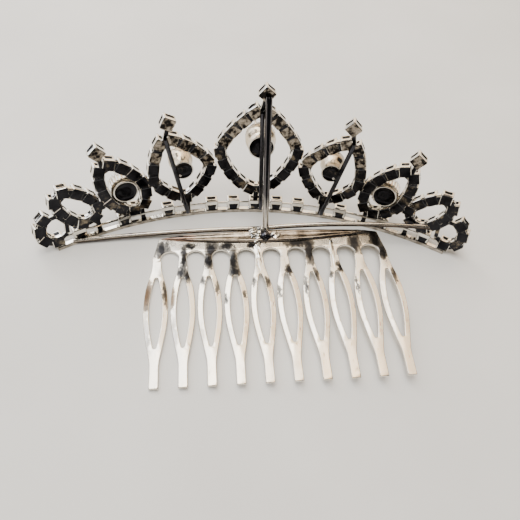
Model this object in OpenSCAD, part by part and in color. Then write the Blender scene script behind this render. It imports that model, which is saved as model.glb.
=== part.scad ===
// Tiara comb: a crown of stone-set loops on a curved rail, braced from behind and soldered to a
// ten-tooth hair comb. Seen from behind, as it is worn: +X to the right, +Y to the stones' side, +Z up.
// The crown stands on its rail and the comb lies behind it. Everything in metal is one soldered piece.

/* [Crown] */
// Radius of the arc that the rail follows round the head
crown_r = 87; // [80:1:110]
// Outward lean of the crown from upright, in degrees
crown_lean = 10.4; // [4:0.2:16]
// Length of the rail from its middle to each end, along the arc
rail_reach = 47; // [45:0.5:52]
// Height of the rail
rail_h = 0.9; // [0.7:0.1:1.2]
// Depth of the rail from back to front
rail_d = 1; // [0.8:0.1:1.3]

/* [Loops] */
// Height of the centre loop along the middle of its stones
loop_h = 21.4; // [20:0.2:25]
// Width of the strip that joins one cup to the next
link_w = 1.1; // [0.8:0.1:1.4]
// Width of the posts that carry the loops on the rail
foot_w = 1.2; // [1:0.1:1.6]

/* [Cups] */
// Width of a square stone cup at its walls
cup_w = 2.7; // [2.5:0.05:3]
// Space between two cups of a chain
cup_gap = 0.45; // [0.4:0.05:0.7]
// Width of a cup's back plate
cup_back_w = 2.3; // [2:0.05:2.4]
// Thickness of a cup's back plate
cup_floor = 0.6; // [0.4:0.05:0.7]
// Height of a cup's walls over the crown's back
cup_wall_h = 1.8; // [1.6:0.05:2]
// Height of the corner prongs over the crown's back
prong_h = 2.6; // [2.4:0.05:3]
// Width of a corner prong
prong_w = 0.5; // [0.4:0.05:0.6]
// Thickness of a cup's walls
cup_wall = 0.25; // [0.2:0.05:0.35]
// Width of a cup in the bottom row
base_cup_w = 3; // [2.8:0.05:3.2]
// Height of the bottom row's cups over the rail's underside
base_top = 3.35; // [3.2:0.05:3.8]
// Width of a tip cup, which stands on a corner
tip_cup_w = 2.9; // [2.7:0.05:3.2]

/* [Stones] */
// Clearance between a stone and the metal round it
stone_gap = 0.12; // [0.1:0.01:0.2]
// Diameter of the large stone in the centre loop
centre_stone_d = 6; // [5.6:0.1:6.4]
// Diameter of the large stone in each second loop
second_stone_d = 4.6; // [4.2:0.1:5]
// Diameter of the large stone in each third loop
third_stone_d = 5.2; // [4.8:0.1:5.6]
// Thickness of the rim round a large stone
rim_wall = 0.35; // [0.25:0.05:0.5]
// Height of the rim round a large stone, in front of its barrel
rim_h = 2.4; // [2.2:0.1:3]

/* [Wires] */
// Diameter of the brace between the top cup and the comb
brace_d = 1.5; // [1.2:0.05:1.8]
// Diameter of the long wire between the rail's ends
chord_d = 1.1; // [0.9:0.05:1.3]
// Diameter of the bars behind the first three loops
bar_d = 1.05; // [0.9:0.05:1.2]
// Diameter of the drop of solder at the brace's foot
solder_d = 3.8; // [3.2:0.1:4.4]
// Height of the drop of solder over the comb's sheet
solder_h = 1.5; // [1.2:0.1:2]

/* [Comb] */
// Number of teeth
tooth_count = 10; // [8:1:11]
// Distance between two teeth
tooth_pitch = 5.75; // [5.4:0.05:6.1]
// Length of the teeth, from the top of the keyholes to the tips
tooth_l = 33; // [30:0.5:36]
// Width of a tooth's straight tip
tooth_tip_w = 1.85; // [1.6:0.05:2.2]
// Widest part of a tooth
tooth_w = 5.2; // [4.8:0.05:5.3]
// Widest part of the slot in a tooth
slot_w = 2.9; // [2.4:0.05:3.1]
// Diameter of the keyhole between two teeth
keyhole_d = 3.9; // [3.6:0.05:4]
// Height of the comb's plate over the keyholes, at its middle
plate_h = 5.2; // [4.8:0.1:5.6]
// How far the plate's edge falls from its middle to its ends
plate_bow = 1.6; // [1:0.1:2]
// Thickness of the comb's sheet
comb_t = 0.7; // [0.5:0.05:0.9]
// Height of the pressed ridge along the plate, over the sheet
ridge_h = 0.6; // [0.4:0.05:0.8]
// Width of the ridge at its middle
ridge_w = 3.8; // [3:0.1:4.2]
// Distance of the comb's middle to the right of the crown's
comb_shift = 3.15; // [0:0.05:4]
// Distance of the keyholes' tops behind the rail
comb_setback = 12.4; // [12:0.1:13.5]
// Turn of the comb seen from above, in degrees
comb_turn = 1.7; // [0:0.1:2.5]
// Rise of the comb to the right, in degrees
comb_roll = 2.3; // [1.5:0.1:3]

/* [Hidden] */
$fn = 48;

// A row for each kind of loop. place, out, inner and outer are shares of rail_reach; up, below and above are
// shares of loop_h. tilt leans the loop outwards in degrees, low and high round its lower and upper half, and
// kept is the share of its outline that carries cups, from the top outwards.
loops = [
    // place, out,    up,    tilt, below, above, inner, outer, low,  high, kept
    [  0,     0,      0.285, 0,    0.523, 0.477, 0.187, 0.187, 1.55, 1.25, 1],
    [  0.37,  -0.03,  0.234, 14,   0.318, 0.466, 0.165, 0.123, 1.35, 1.4,  1],
    [  0.653, -0.087, 0.196, 27,   0.29,  0.42,  0.089, 0.094, 1.7,  1.65, 1],
    [  0.874, -0.091, 0.243, 40,   0.164, 0.345, 0.064, 0.072, 2.2,  2.3,  1],
    [  0.985, 0,      0.102, 0,    0.15,  0.185, 0.064, 0.064, 2,    2,    0.57]
];
// A row for each tip cup: its loop, its place beside and above that loop's place, and its turn from standing
// on a corner
tips = [
    // loop, out,   up,    turn
    [  0,    0.017, 1.449, 6],
    [  1,    0.036, 1.168, 4],
    [  2,    0.068, 0.977, 12]
];
// A row for each large setting: its loop, its place on the loop's bar, its stone, its barrel's width as a
// share of the rim, and as shares of rim_h how far the barrel and the rim start in front of the crown's back.
// The third has no bar: it is soldered to its loop's inner side, so it follows the loop.
settings = [
    // loop, out,    up,    stone,          back_w, back,  start
    [  0,    0.01,   0.853, centre_stone_d, 0.84,   0,     1.08],
    [  1,    -0.018, 0.609, second_stone_d, 0.83,   0,     1.38],
    [  2,    undef,  undef, third_stone_d,  0.9,    0.125, 0.42]
];
// A row for each bar behind a loop: its loop, its upper end and its lower end
bars = [
    // loop, out,    up,    low_out, low_up
    [  0,    0,      1.27,  0.03,    0.05],
    [  1,    0.055,  1.02,  -0.026,  0.05]
];
// Stations of the bottom row's cups, counted from the middle, and their spacing as a share of rail_reach
base_stations = [0, 1, 2, 4, 6, 8];
base_pitch = 0.1098 * rail_reach;
link_up = 0.76;                     // height of the bottom row's link line as a share of base_top
link_h = 0.5;
link_step = 0.15;                   // how far the link line's back stands behind the cups' backs
base_foot_w = 1.3;                  // width of a bottom cup's back plate where it meets the rail

brace_top_out = 0.3;                // the brace's top beside the middle of the top cup
brace_foot_out = -0.9;              // the brace's foot beside the comb's middle
chord_mid_out = -2.5;               // where the long wire crosses the comb, beside its middle
chord_left = 0.92;                  // the long wire's ends along the rail's reach, and their heights
chord_left_up = 0.7;
chord_right = 0.885;
chord_right_up = 5.5;
chord_left_bow = 0.6;               // bow of the wire's two halves, and the side that the right one takes
chord_right_bow = 0.9;
chord_right_roll = 37;
bead_d = 1.6;                       // bead of solder where the wire crosses the comb

// A tooth's half width at shares of its length: neck is 0 at the tip's width and 1 at the widest
tooth_rows = [[0, 0], [0.08, 0.03], [0.16, 0.12], [0.3, 0.78], [0.45, 1],
              [0.57, 0.9], [0.7, 0.5], [0.82, 0.04], [1, 0]];
slot_top = 0.21;                    // ends of the slot as shares of the tooth's length
slot_end = 0.742;
tooth_steps = 20;
slot_steps = 12;
plate_steps = 16;
ridge_end = -0.3;                   // reach of the plate's edge past the middle of the end teeth

overlap = 0.2;                      // how far soldered shapes run into each other
back_step = 0.3;                    // how far the rail's back stands behind the cups' backs
curve_steps = 120;
main_sides = 16;                    // facets round a large stone
small_sides = 8;                    // facets round a small stone
table_reach = 0.56;                 // a stone's table and its height over the girdle, as shares of its radius
table_rise = 0.62;
point_drop = 0.7;                   // how far the stone's point lies below the girdle

cup_pitch = cup_w + cup_gap;
cup_seat = cup_w - 2 * cup_wall;
small_stone_d = cup_seat - 2 * stone_gap;
tip_seat = tip_cup_w - 2 * cup_wall;
tip_stone_d = tip_seat - 2 * stone_gap;
base_low = rail_h - cup_wall;
base_seat = base_top - rail_h - cup_wall;
base_stone_d = base_seat - 2 * stone_gap;
base_mid = (base_top + base_low) / 2;
link_low = link_up * base_top - link_h / 2;
comb_w = tooth_pitch * (tooth_count - 1) + tooth_w;
comb_lift = comb_w / 2 * sin(comb_roll);

// The shared frame's origin lies under the middle of the whole, between the foremost front and the tips. The
// front is the edge of the centre stone's table or the top cup's prongs.
function front_at(up, off) = up * sin(crown_lean) + off * cos(crown_lean);
tip_corner = tip_cup_w / sqrt(2) * cos(tips[0][3]);
table_up = settings[0][2] * loop_h + table_reach * centre_stone_d / 2 * cos(180 / main_sides);
table_off = settings[0][6] * rim_h + cup_floor + stone_gap + (point_drop + table_rise) * centre_stone_d / 2;
front_y = max(front_at(tips[0][2] * loop_h + tip_corner, prong_h), front_at(table_up, table_off));
rear_y = comb_point(-(tooth_count - 1) / 2 * tooth_pitch + tooth_tip_w / 2, -tooth_l, 0).y;
mid_y = (front_y + rear_y) / 2;

// One point of a loop's outline, by the angle t from its top towards the crown's end
function share(v, n) = sign(v) * pow(abs(v), 2 / n);
function loop_point(p, t) =
    let (c = sin(t), s = cos(t),
         n = s < 0 ? p[8] : p[9],
         x = share(c, n) * (c > 0 ? p[7] : p[6]) * rail_reach,
         y = (share(s, n) * (s < 0 ? p[4] : p[5]) + p[4]) * loop_h)
    [p[1] * rail_reach + x * cos(p[3]) + y * sin(p[3]), p[2] * loop_h - x * sin(p[3]) + y * cos(p[3])];
function outline(p) = [for (i = [0:curve_steps]) loop_point(p, 360 * i / curve_steps)];
function lengths(pts, i = 0, sum = 0) =
    i >= len(pts) - 1 ? [sum] : concat([sum], lengths(pts, i + 1, sum + norm(pts[i + 1] - pts[i])));
function along(pts, sums, d) = [lookup(d, [for (i = [0:len(pts) - 1]) [sums[i], pts[i].x]]),
                                lookup(d, [for (i = [0:len(pts) - 1]) [sums[i], pts[i].y]])];
// Middles and directions of a loop's cups, at equal steps along its outline
function cups_of(p) =
    let (pts = outline(p), sums = lengths(pts), whole = sums[curve_steps], n = round(whole / cup_pitch))
    [for (i = [0:n - 1])
        let (d = (i + 0.5) * whole / n,
             a = along(pts, sums, d - cup_w / 4),
             b = along(pts, sums, d + cup_w / 4))
        [along(pts, sums, d), atan2(b.y - a.y, b.x - a.x)]];
function kept(p, list) = round(p[10] * len(list));

// A place on the leaning crown: s along the rail's arc, X outwards, Y up in the loop's plane, Z to the front
module on_crown(s) {
    turn = s / crown_r * 180 / PI;
    translate([crown_r * sin(turn), crown_r * (cos(turn) - 1) - mid_y, 0])
        rotate([0, 0, -turn])
            rotate([90 - crown_lean, 0, 0])
                mirror([0, 0, 1])
                    children();
}
module on_loop(i) {
    on_crown(loops[i][0] * rail_reach) children();
}
module both_sides() {
    children();
    mirror([1, 0, 0]) children();
}
module layer(from, to) {
    translate([0, 0, from]) linear_extrude(to - from) children();
}
module at_cup(cup) {
    translate(cup[0]) rotate(cup[1]) children();
}
module prongs(w) {
    for (x = [-1, 1], y = [-1, 1])
        translate([x, y] * (w - prong_w) / 2) square(prong_w, center = true);
}
module strip(a, b, w) {
    run = b - a;
    translate((a + b) / 2) rotate(atan2(run.y, run.x)) square([norm(run) + w / 2, w], center = true);
}

// One loop of the chain, with its post down to the rail
module loop_metal(i) {
    list = cups_of(loops[i]);
    n = len(list);
    keep = kept(loops[i], list);
    foot = loop_point(loops[i], 180);
    layer(0, cup_floor) {
        for (k = [0:n - 1]) {
            if (k < keep) at_cup(list[k]) square(cup_back_w, center = true);
            strip(list[k][0], list[(k + 1) % n][0], link_w);
        }
        strip([foot.x, rail_h / 2], foot, foot_w);
    }
    layer(cup_floor - overlap, cup_wall_h) difference() {
        for (k = [0:keep - 1]) at_cup(list[k]) square(cup_w, center = true);
        for (k = [0:keep - 1]) at_cup(list[k]) square(cup_seat, center = true);
    }
}
module tip_metal(tip) {
    top = loop_point(loops[tip[0]], 0);
    place = [tip[1] * rail_reach, tip[2] * loop_h];
    layer(0, cup_floor) {
        translate(place) rotate(45 + tip[3]) square(cup_back_w, center = true);
        strip(top, place, link_w);
    }
    translate(place) rotate(45 + tip[3]) {
        layer(cup_floor - overlap, cup_wall_h) difference() {
            square(tip_cup_w, center = true);
            square(tip_seat, center = true);
        }
        layer(cup_wall_h - overlap, prong_h) prongs(tip_cup_w);
    }
}
// A round setting: a barrel behind, a flange and a rim round the stone
function rim_radius(s) = s[3] / 2 + stone_gap + rim_wall;
function setting_place(s) =
    let (p = loops[s[0]], side = loop_point(p, 270), reach = cup_w / 2 - overlap + rim_radius(s))
    is_undef(s[1]) ? side + reach * [cos(p[3]), -sin(p[3])] : [s[1] * rail_reach, s[2] * loop_h];
module setting_metal(s) {
    rim_r = rim_radius(s);
    back_r = rim_r * s[4];
    seat_r = s[3] / 2 + stone_gap;
    back = s[5] * rim_h;
    start = s[6] * rim_h;
    top = start + rim_h;
    translate(setting_place(s))
        rotate_extrude()
            polygon([[0, back], [back_r, back], [back_r, start], [rim_r, start], [rim_r, top],
                     [seat_r, top], [seat_r, start + cup_floor], [0, start + cup_floor]]);
}
module bar_metal(b) {
    low = [b[3] * rail_reach, b[4] * loop_h];
    run = [b[1] * rail_reach, b[2] * loop_h] - low;
    translate([low.x, low.y, -bar_d / 2 + overlap / 2])
        rotate([0, 90, atan2(run.y, run.x)])
            cylinder(h = norm(run), d = bar_d);
}
module base_cup_metal() {
    layer(0, cup_floor)
        polygon([[-base_foot_w / 2, rail_h / 2], [base_foot_w / 2, rail_h / 2],
                 [base_cup_w / 2, base_top], [-base_cup_w / 2, base_top]]);
    translate([0, base_mid]) {
        layer(cup_floor - overlap, cup_wall_h) difference() {
            square([base_cup_w, base_top - base_low], center = true);
            square([base_cup_w - 2 * cup_wall, base_seat], center = true);
        }
        layer(cup_wall_h - overlap, prong_h) prongs(base_top - base_low);
    }
}
// A band of the crown's own leaning wall, between two heights and two depths
module band(low, high, back, front) {
    reach = rail_reach / crown_r * 180 / PI;
    run = tan(crown_lean);
    rotate_extrude(angle = 2 * reach, start = 90 - reach, $fn = 180)
        polygon([[crown_r + low * run + back, low], [crown_r + low * run + front, low],
                 [crown_r + high * run + front, high], [crown_r + high * run + back, high]]);
}
module crown() {
    translate([0, -crown_r - mid_y, 0]) {
        band(0, rail_h, -back_step, rail_d - back_step);
        band(link_low, link_low + link_h, -link_step, cup_floor - link_step);
    }
    on_crown(0) base_cup_metal();
    on_loop(0) loop_metal(0);
    both_sides() {
        for (k = [1:len(base_stations) - 1]) on_crown(base_stations[k] * base_pitch) base_cup_metal();
        for (i = [1:len(loops) - 1]) on_loop(i) loop_metal(i);
    }
    on_loop(0) {
        tip_metal(tips[0]);
        setting_metal(settings[0]);
        bar_metal(bars[0]);
    }
    both_sides() {
        for (i = [1:2]) on_loop(i) {
            tip_metal(tips[i]);
            setting_metal(settings[i]);
        }
        on_loop(1) bar_metal(bars[1]);
    }
}

// A round wire from a to b
module wire(a, b, d) {
    run = b - a;
    translate(a)
        rotate([0, atan2(norm([run.x, run.y]), run.z), atan2(run.y, run.x)])
            cylinder(h = norm(run), d = d);
}
// A wire bent in one arc from a to b, bowed by a height towards its own side, which roll turns about a to b
module bowed_wire(a, b, bow, roll, d) {
    run = b - a;
    half = norm(run) / 2;
    r = (half * half + bow * bow) / (2 * bow);
    spread = asin(half / r);
    translate((a + b) / 2)
        rotate([0, -atan2(run.z, norm([run.x, run.y])), atan2(run.y, run.x)])
            rotate([roll, 0, 0])
                translate([0, bow - r, 0])
                    rotate_extrude(angle = 2 * spread, start = 90 - spread, $fn = 180)
                        translate([r, 0]) circle(d = d, $fn = 24);
}

// A smooth value between the rows of a table of [share, value]
function between(rows, v, i = 0) =
    i >= len(rows) - 2 || v < rows[i + 1][0]
        ? let (u = (v - rows[i][0]) / (rows[i + 1][0] - rows[i][0]), e = u * u * (3 - 2 * u))
          rows[i][1] + (rows[i + 1][1] - rows[i][1]) * e
        : between(rows, v, i + 1);
function tooth_half(v) = (tooth_tip_w + (tooth_w - tooth_tip_w) * between(tooth_rows, v)) / 2;
// Points of a shallow curve along the plate, from the left, whose height changes by bow towards the ends
function plate_edge(h, bow) =
    let (end = (tooth_count - 1) / 2 * tooth_pitch + ridge_end)
    [for (i = [0:plate_steps]) let (u = 2 * i / plate_steps - 1) [u * end, h + bow * u * u]];
function reversed(list) = [for (i = [len(list) - 1:-1:0]) list[i]];
module comb_frame() {
    translate([comb_shift, -comb_setback - mid_y, comb_lift])
        rotate([0, -comb_roll, 0])
            rotate([0, 0, comb_turn])
                children();
}
module tooth_outline() {
    polygon([for (side = [-1, 1], i = [0:tooth_steps])
        let (v = side < 0 ? i / tooth_steps : 1 - i / tooth_steps) [side * tooth_half(v), -v * tooth_l]]);
}
module slot_outline() {
    polygon([for (side = [-1, 1], i = [0:slot_steps - 1])
        let (u = side < 0 ? i / slot_steps : 1 - i / slot_steps, v = slot_top + (slot_end - slot_top) * u)
        [side * slot_w / 2 * pow(sin(180 * u), 0.8), -v * tooth_l]]);
}
module comb_sheet() {
    first = -(tooth_count - 1) / 2 * tooth_pitch;
    head = keyhole_d / 2;
    layer(0, comb_t) difference() {
        union() {
            polygon(concat([[first - tooth_tip_w / 2, -head]], plate_edge(plate_h, -plate_bow),
                           [[-first + tooth_tip_w / 2, -head]]));
            for (i = [0:tooth_count - 1]) translate([first + i * tooth_pitch, 0]) tooth_outline();
        }
        for (i = [0:tooth_count - 2])
            translate([first + (i + 0.5) * tooth_pitch, -head]) circle(d = keyhole_d);
        for (i = [0:tooth_count - 1])
            translate([first + i * tooth_pitch, 0]) slot_outline();
    }
    layer(comb_t - overlap, comb_t + ridge_h)
        polygon(concat(plate_edge(plate_h, -plate_bow),
                       reversed(plate_edge(plate_h - ridge_w, ridge_w - plate_bow))));
}
// Places in the shared frame: on the crown, and on the comb's sheet
function crown_point(s, out, up, off) =
    let (t = s / crown_r * 180 / PI,
         r = up * sin(crown_lean) + off * cos(crown_lean))
    [(crown_r + r) * sin(t) + out * cos(t), (crown_r + r) * cos(t) - out * sin(t) - crown_r,
     up * cos(crown_lean) - off * sin(crown_lean)];
function comb_point(u, v, w) =
    let (x = u * cos(comb_turn) - v * sin(comb_turn), y = u * sin(comb_turn) + v * cos(comb_turn))
    [comb_shift + x * cos(comb_roll) - w * sin(comb_roll), y - comb_setback,
     comb_lift + x * sin(comb_roll) + w * cos(comb_roll)];
// The brace, the wire across the rail's ends and the drop of solder that joins them to the comb
module back_wires() {
    top = crown_point(0, tips[0][1] * rail_reach + brace_top_out, tips[0][2] * loop_h,
                      -brace_d / 2 + 2 * overlap);
    foot = comb_point(brace_foot_out, plate_h - brace_d / 2, comb_t + ridge_h / 2);
    middle = comb_point(chord_mid_out, plate_h + chord_d / 2 - overlap, comb_t / 2 + chord_d / 2);
    left = crown_point(-chord_left * rail_reach, 0, chord_left_up, overlap);
    right = crown_point(chord_right * rail_reach, 0, chord_right_up, overlap);
    translate([0, -mid_y, 0]) {
        wire(top, foot, brace_d);
        bowed_wire(left, middle, chord_left_bow, 0, chord_d);
        bowed_wire(middle, right, chord_right_bow, chord_right_roll, chord_d);
        translate(middle) sphere(d = bead_d);
    }
    comb_frame() translate([brace_foot_out, plate_h - solder_d / 3, comb_t - overlap])
        rotate_extrude()
            polygon([[0, 0], [solder_d / 2, 0], [solder_d * 0.46, solder_h / 2],
                     [solder_d * 0.3, solder_h * 0.9], [0, solder_h]]);
}
module crown_metal() {
    color("silver") {
        crown();
        comb_frame() comb_sheet();
        back_wires();
    }
}

// A cut stone: a flat table, a ring of crown facets, a girdle and a pointed back
module gem(d, sides) {
    r = d / 2;
    ring = [for (i = [0:sides - 1]) 360 * (i + 0.5) / sides];
    points = concat(
        [for (a = ring) [table_reach * r * cos(a), table_reach * r * sin(a), table_rise * r]],
        [for (a = ring) [r * cos(a), r * sin(a), 0.2 * r]],
        [for (a = ring) [r * cos(a), r * sin(a), 0.05 * r]],
        [[0, 0, -point_drop * r]]);
    polyhedron(points, concat(
        [[for (i = [sides - 1:-1:0]) i]],
        [for (row = [0, 1], i = [0:sides - 1])
            let (j = (i + 1) % sides, low = row * sides, high = low + sides)
            [low + i, low + j, high + j, high + i]],
        [for (i = [0:sides - 1]) [2 * sides + i, 2 * sides + (i + 1) % sides, 3 * sides]]));
}
module seated_gem(d, floor_at, sides) {
    translate([0, 0, floor_at + stone_gap + point_drop / 2 * d]) gem(d, sides);
}
module loop_stones() {
    color("aliceblue") {
        on_loop(0) loop_gems(0);
        both_sides() for (i = [1:len(loops) - 1]) on_loop(i) loop_gems(i);
        on_loop(0) tip_gem(tips[0]);
        both_sides() for (i = [1:2]) on_loop(i) tip_gem(tips[i]);
    }
}
module loop_gems(i) {
    list = cups_of(loops[i]);
    for (k = [0:kept(loops[i], list) - 1]) at_cup(list[k])
        seated_gem(small_stone_d, cup_floor, small_sides);
}
module tip_gem(tip) {
    translate([tip[1] * rail_reach, tip[2] * loop_h]) rotate(45 + tip[3])
        seated_gem(tip_stone_d, cup_floor, small_sides);
}
module base_stones() {
    color("aliceblue") {
        on_crown(0) translate([0, base_mid]) seated_gem(base_stone_d, cup_floor, small_sides);
        both_sides() for (k = [1:len(base_stations) - 1]) on_crown(base_stations[k] * base_pitch)
            translate([0, base_mid]) seated_gem(base_stone_d, cup_floor, small_sides);
    }
}
module large_stone(s) {
    color("aliceblue") on_loop(s[0]) translate(setting_place(s))
        seated_gem(s[3], s[6] * rim_h + cup_floor, main_sides);
}
module centre_stone() { large_stone(settings[0]); }
module second_stone_right() { large_stone(settings[1]); }
module second_stone_left() { mirror([1, 0, 0]) second_stone_right(); }
module third_stone_right() { large_stone(settings[2]); }
module third_stone_left() { mirror([1, 0, 0]) third_stone_right(); }

crown_metal();
loop_stones();
base_stones();
centre_stone();
second_stone_left();
second_stone_right();
third_stone_left();
third_stone_right();
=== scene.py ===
import bpy
import bmesh
import math
from functools import partial
from mathutils import Matrix, Vector, noise


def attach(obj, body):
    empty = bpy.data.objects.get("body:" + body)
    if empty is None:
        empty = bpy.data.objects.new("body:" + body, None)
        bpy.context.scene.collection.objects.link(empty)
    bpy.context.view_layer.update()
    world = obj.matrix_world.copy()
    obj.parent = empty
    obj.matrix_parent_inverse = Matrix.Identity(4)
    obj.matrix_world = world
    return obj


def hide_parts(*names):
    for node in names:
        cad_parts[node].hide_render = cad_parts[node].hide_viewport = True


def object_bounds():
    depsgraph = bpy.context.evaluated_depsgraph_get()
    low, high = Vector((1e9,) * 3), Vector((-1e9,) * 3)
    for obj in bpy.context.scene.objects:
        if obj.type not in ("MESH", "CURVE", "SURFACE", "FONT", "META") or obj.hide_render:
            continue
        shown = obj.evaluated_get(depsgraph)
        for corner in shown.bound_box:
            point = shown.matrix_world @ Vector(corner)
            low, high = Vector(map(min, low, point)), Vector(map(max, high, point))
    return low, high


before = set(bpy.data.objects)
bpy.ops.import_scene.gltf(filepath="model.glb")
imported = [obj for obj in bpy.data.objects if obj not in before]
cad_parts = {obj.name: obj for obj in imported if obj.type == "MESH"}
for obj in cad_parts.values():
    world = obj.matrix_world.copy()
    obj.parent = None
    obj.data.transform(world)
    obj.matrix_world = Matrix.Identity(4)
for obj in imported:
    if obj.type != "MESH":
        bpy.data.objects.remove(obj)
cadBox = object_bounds()
mm = 0.001

# The crown's own sizes in mm and degrees, as in the model it dresses
crown = {"radius": 87, "lean": 10.4, "reach": 47, "loopHeight": 21.4, "railHeight": 0.9, "railDepth": 1.0,
         "backStep": 0.3, "linkStep": 0.15, "linkUp": 2.55, "linkHeight": 0.5, "linkFront": 0.45,
         "postWidth": 1.2, "linkWidth": 1.1, "plateDepth": 0.6}
# Square cups: outer sizes, the chain's gap, corners, prongs that narrow to their tips, and the stone's room
cup = {"size": 2.7, "tipSize": 2.9, "baseWidth": 3.0, "baseLow": 0.65, "baseTop": 3.35, "gap": 0.45,
       "corner": 0.3, "prong": 0.26, "notch": 0.1, "prongTaper": 0.08, "taperFrom": 1.9, "taperRun": 0.6,
       "stoneGap": 0.12, "stoneWall": 0.25}
# place, out, up, tilt, below, above, inner, outer, low, high and kept of each loop, in shares of reach and
# height: where it stands, its tilt, its spans from its middle, how square its halves are, how much has cups
loopShapes = {
    "centre": (0, 0, 0.285, 0, 0.523, 0.477, 0.187, 0.187, 1.55, 1.25, 1),
    "second": (0.37, -0.03, 0.234, 14, 0.318, 0.466, 0.165, 0.123, 1.35, 1.4, 1),
    "third": (0.653, -0.087, 0.196, 27, 0.29, 0.42, 0.089, 0.094, 1.7, 1.65, 1),
    "fourth": (0.874, -0.091, 0.243, 40, 0.164, 0.345, 0.064, 0.072, 2.2, 2.3, 1),
    "end": (0.985, 0, 0.102, 0, 0.15, 0.185, 0.064, 0.064, 2, 2, 0.57),
}
# out, up and turn of each tip cup, and the turn of its left copy, which was soldered less straight
tipPlaces = {"centre": (0.017, 1.449, 6, 6), "second": (0.036, 1.168, 4, -17), "third": (0.068, 0.977, 12, 4)}
# large settings: stone, barrel's share of the rim, where barrel and rim start in front of the crown's back,
# place on the loop's bar, and claws
settings = {
    "centre": {"stone": 6.0, "barrel": 0.84, "back": 0, "start": 2.59, "place": (0.01, 0.853), "claws": 8},
    "second": {"stone": 4.6, "barrel": 0.83, "back": 0, "start": 3.31, "place": (-0.018, 0.609), "claws": 8},
    "third": {"stone": 5.2, "barrel": 0.9, "back": 0.3, "start": 1.01, "place": None, "claws": 24},
}
rim = {"wall": 0.35, "height": 2.4, "overlap": 0.2}
# claws: how deep a claw and a rib sit in the rim, how far below its top and above the barrel they start, their
# half thickness from foot to tip, and inset and height over the girdle of each bend
claw = {"sunk": 0.16, "ribSunk": 0.04, "below": 0.6, "ribAbove": 0.3, "radii": (0.28, 0.28, 0.26, 0.16),
        "bends": ((0.26, 0.2), (0.6, 0.45))}
# a stone's table, its height, the point's depth, and radius and height of the other rings, as shares of its
# radius (for the girdle, which is 1 wide, its two heights)
cut = {"table": 0.549, "rise": 0.62, "drop": 0.7, "star": (0.78, 0.46), "girdle": (0.2, 0.05),
       "half": (0.42, -0.42)}


def sided(name, kind, side):
    # the middle piece has no side in its name
    return name + "_" + kind + ("" if name == "centre" else {1: "_right", -1: "_left"}[side])


def withPairs(*names):
    return [("centre", 1)] + [(name, side) for name in names for side in (1, -1)]


def placeOf(name):
    return loopShapes[name][0] * crown["reach"]


# Plain maths for the loops
def signedPower(value, n):
    return math.copysign(abs(value) ** (2 / n), value)


def loopPoint(name, degrees):
    # degrees run from the top outwards
    out, up, tilt, below, above, inner, outer, low, high = loopShapes[name][1:10]
    outwards, upwards = math.sin(math.radians(degrees)), math.cos(math.radians(degrees))
    n = low if upwards < 0 else high
    x = signedPower(outwards, n) * (outer if outwards > 0 else inner) * crown["reach"]
    y = (signedPower(upwards, n) * (below if upwards < 0 else above) + below) * crown["loopHeight"]
    t = math.radians(tilt)
    return Vector((out * crown["reach"] + x * math.cos(t) + y * math.sin(t),
                   up * crown["loopHeight"] - x * math.sin(t) + y * math.cos(t)))


def cupPlaces(name):
    # middles and directions of a loop's cups at equal steps along its outline, from the top outwards
    steps = 120
    points = [loopPoint(name, 360 * i / steps) for i in range(steps + 1)]
    sums = [0]
    for a, b in zip(points, points[1:]):
        sums.append(sums[-1] + (b - a).length)

    def along(d):
        k = max(i for i in range(steps) if sums[i] <= d)
        return points[k].lerp(points[k + 1], (d - sums[k]) / (sums[k + 1] - sums[k]))

    count = round(sums[-1] / (cup["size"] + cup["gap"]))
    places = []
    for i in range(count):
        d = (i + 0.5) * sums[-1] / count
        run = along(d + cup["size"] / 4) - along(d - cup["size"] / 4)
        places.append((along(d), math.atan2(run.y, run.x)))
    return places


# The middle of the rail stands this far from the shared frame's origin: the frame's front is the edge of the
# centre stone's table
lean = math.radians(crown["lean"])
foremost = settings["centre"]
tableUp = foremost["place"][1] * crown["loopHeight"] + cut["table"] * foremost["stone"] / 2
tableOff = (foremost["start"] + crown["plateDepth"] + cup["stoneGap"]
            + (cut["drop"] + cut["rise"]) * foremost["stone"] / 2)
railMiddle = cadBox[1].y / mm - tableUp * math.sin(lean) - tableOff * math.cos(lean)


def onCrown(s, side=1):
    # X outwards along the arc, Y up in the leaning wall, Z to the stones' side
    t = s / crown["radius"]
    across = Vector((math.cos(t), -math.sin(t), 0))
    up = Vector((math.sin(lean) * math.sin(t), math.sin(lean) * math.cos(t), math.cos(lean)))
    front = Vector((math.cos(lean) * math.sin(t), math.cos(lean) * math.cos(t), -math.sin(lean)))
    origin = Vector((crown["radius"] * math.sin(t), crown["radius"] * (math.cos(t) - 1) + railMiddle, 0))
    rows = [(across[i], up[i], front[i], origin[i]) for i in range(3)] + [(0, 0, 0, 1)]
    return Matrix.Scale(side, 4, (1, 0, 0)) @ Matrix(rows)


def inPlane(place, turn=0):
    return Matrix.Translation((place[0], place[1], 0)) @ Matrix.Rotation(turn, 4, "Z")


# Meshes are gathered as points in mm, faces and a finish for each face
def newShape():
    return {"points": [], "faces": [], "finishes": []}


def put(shape, part, matrix=Matrix()):
    points, faces, finishes = part
    first = len(shape["points"])
    shape["points"] += [matrix @ Vector(p) for p in points]
    shape["faces"] += [[first + i for i in face] for face in faces]
    shape["finishes"] += finishes


def newObject(name, data):
    made = bpy.data.objects.new(name, data)
    bpy.context.scene.collection.objects.link(made)
    return made


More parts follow.
